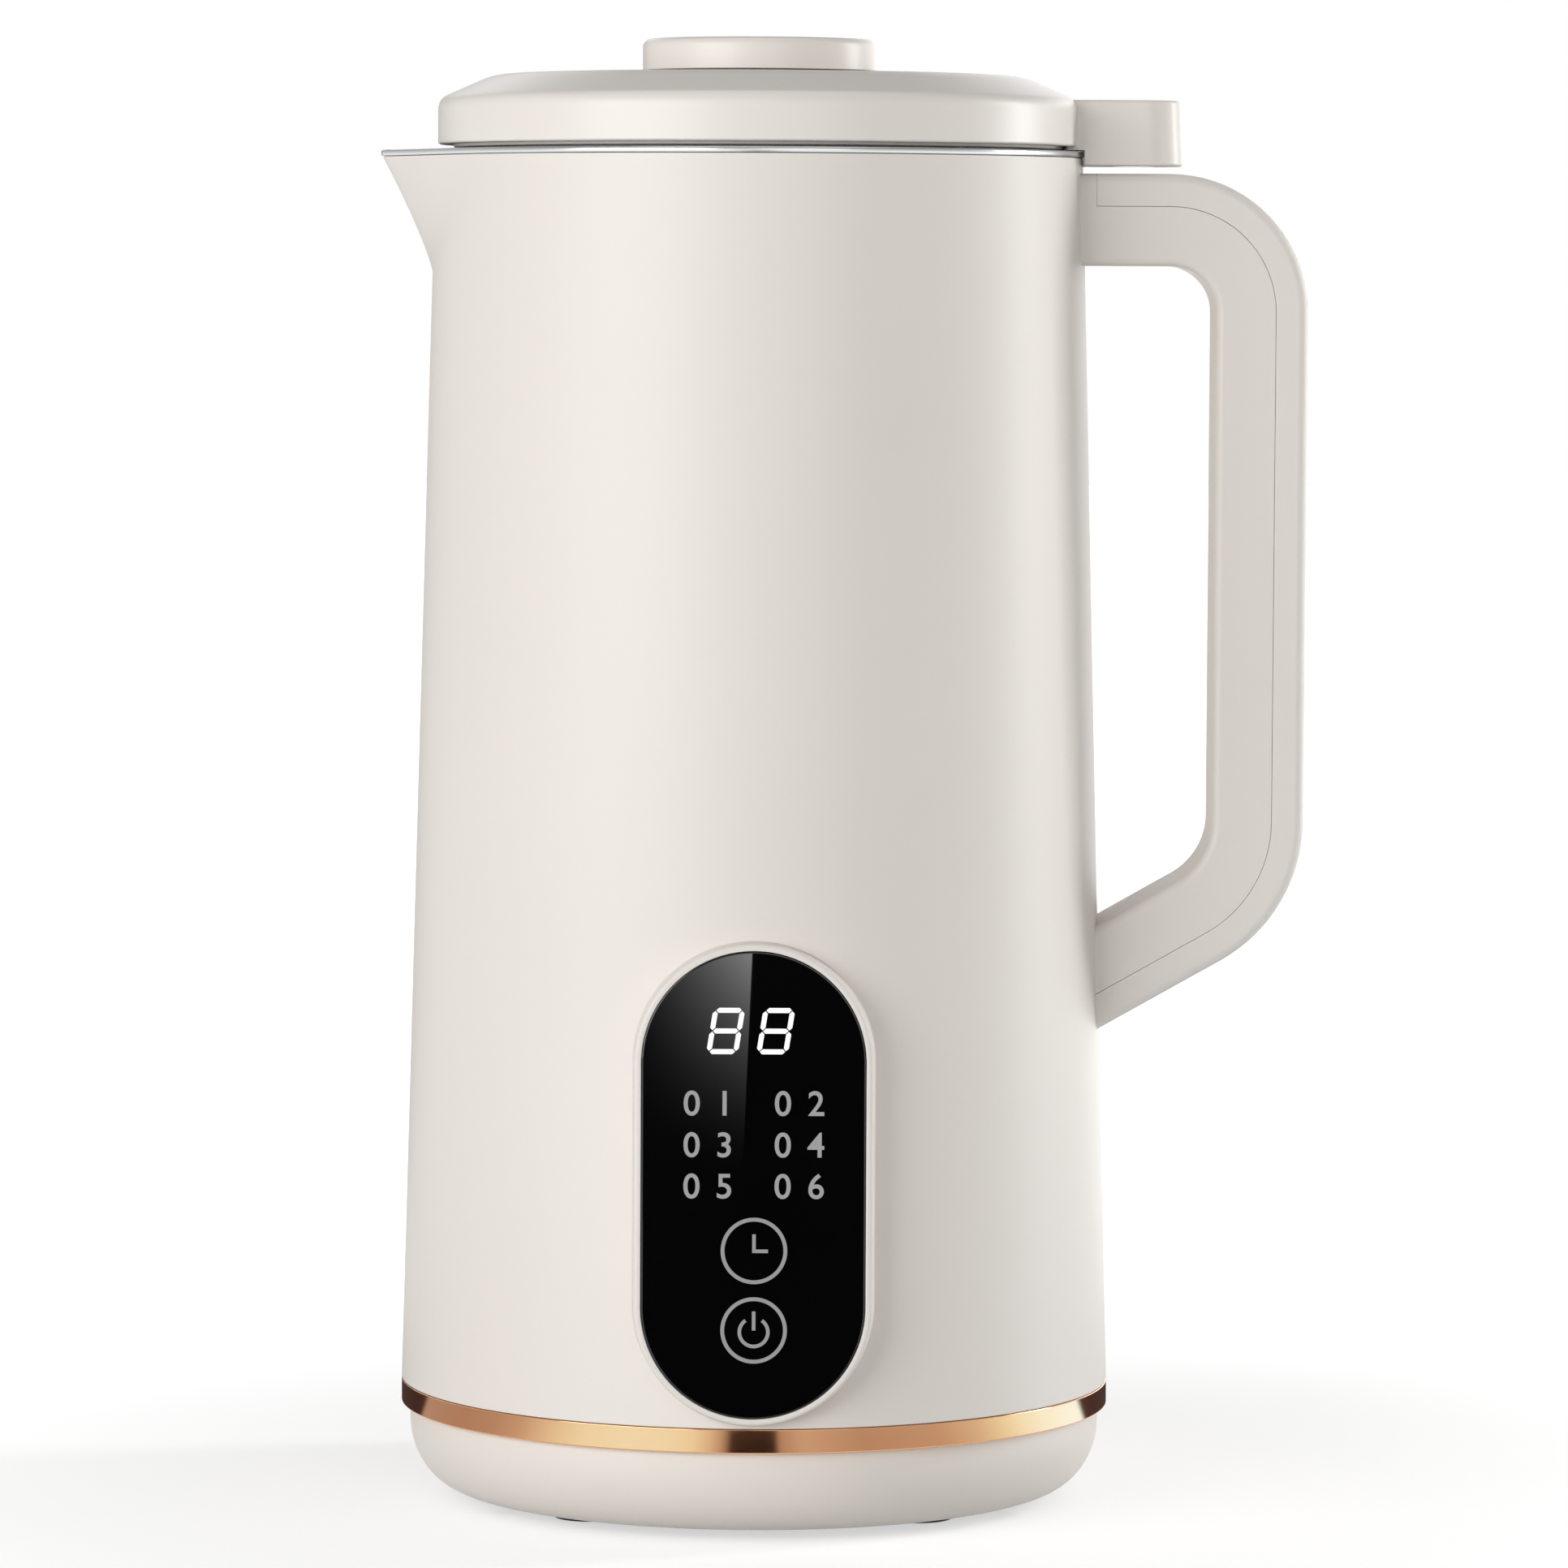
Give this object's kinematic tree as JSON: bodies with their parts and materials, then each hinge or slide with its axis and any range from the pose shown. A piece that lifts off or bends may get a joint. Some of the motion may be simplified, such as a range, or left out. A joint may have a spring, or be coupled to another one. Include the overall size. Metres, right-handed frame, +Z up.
{
  "type": "soy milk maker",
  "caption": "Soy milk maker: tapered cream jug with steel pot and beak, strap handle, touch panel, rose gold ring, lift-off lid, and blade, motor and heater inside.",
  "frame": {"origin": "centre of the box's bottom, on the surface that the part stands on", "axes": "+Z up; the touch panel faces -Y, the handle is towards +X and the beak towards -X"},
  "size_m": [0.162, 0.1286, 0.2555],
  "materials": {
    "cream_plastic": "cream, softly glossy",
    "liner_plastic": "white, satin",
    "rose_gold": "rose gold plating, mirror bright",
    "pot_steel": "drawn stainless sheet, brushed round",
    "blade_steel": "polished stainless",
    "plated_steel": "zinc plated",
    "bearing_steel": "ground",
    "cast_aluminium": "as cast",
    "lamination": "stamped sheets, lacquered",
    "copper_wire": "lacquered copper wire",
    "commutator_copper": "turned copper",
    "bronze": "sintered",
    "magnet_nickel": "nickel plated",
    "black_glass": "black backed, polished",
    "black_plastic": "satin",
    "grey_plastic": "satin",
    "nylon": "natural nylon",
    "carbon": "pressed carbon",
    "circuit_board": "green lacquer",
    "relay_blue": "satin",
    "black_rubber": "matt",
    "silicone": "milky"
  },
  "bodies": {
    "jug": {"outer_shell": "cream_plastic", "pot": "pot_steel", "trim_ring": "rose_gold", "base_cup": "cream_plastic", "foot_1": "black_rubber", "foot_2": "black_rubber", "foot_3": "black_rubber", "foot_4": "black_rubber", "heater_plate": "cast_aluminium", "heater_tube": "plated_steel", "temperature_probe": "plated_steel", "thermostat": "black_plastic", "blade_seat": "blade_steel", "seat_nut": "plated_steel", "shaft_bush": "bronze", "shaft_seal": "black_rubber", "lower_shield": "black_plastic", "upper_shield": "cast_aluminium", "lower_bearing": "bearing_steel", "upper_bearing": "bearing_steel", "stator": "lamination", "field_coil_left": "copper_wire", "field_coil_right": "copper_wire", "brush_left": "carbon", "brush_right": "carbon", "brush_holder_left": "bronze", "brush_holder_right": "bronze", "motor_bolt_1": "plated_steel", "motor_bolt_2": "plated_steel", "motor_damper_1": "black_rubber", "motor_damper_2": "black_rubber", "motor_spider": "grey_plastic", "power_board": "circuit_board", "relay": "relay_blue", "panel_bezel": "cream_plastic", "panel_glass": "black_glass", "display_board": "circuit_board", "display_module": "grey_plastic", "power_inlet": "black_plastic", "inlet_pin_left": "plated_steel", "inlet_pin_right": "plated_steel", "inlet_pin_earth": "plated_steel", "handle_inner": "cream_plastic", "handle_cover": "cream_plastic", "lid_switch": "black_plastic", "handle_screw_upper": "plated_steel", "handle_screw_lower": "plated_steel"},
    "lid": {"lid_cover": "cream_plastic", "tab_magnet": "magnet_nickel", "lid_liner": "liner_plastic", "lid_gasket": "silicone"},
    "cap": {"vent_cap": "cream_plastic", "cap_seal": "silicone"},
    "rotor": {"shaft": "bearing_steel", "blade": "blade_steel", "blade_nut": "blade_steel", "cooling_fan": "nylon", "commutator": "commutator_copper", "armature_core": "lamination", "armature_winding": "copper_wire"}
  },
  "joints": [
    {"name": "lid_lift", "type": "slide", "parent": "jug", "child": "lid", "axis": [0, 0, 1], "range_m": [0, 0.03]},
    {"name": "cap_lift", "type": "slide", "parent": "lid", "child": "cap", "axis": [0, 0, 1], "range_m": [0, 0.02]},
    {"name": "rotor_spin", "type": "hinge", "parent": "jug", "child": "rotor", "pos_m": [-0.01455, 0.00079, 0.1], "axis": [0, 0, 1], "continuous": true}
  ]
}
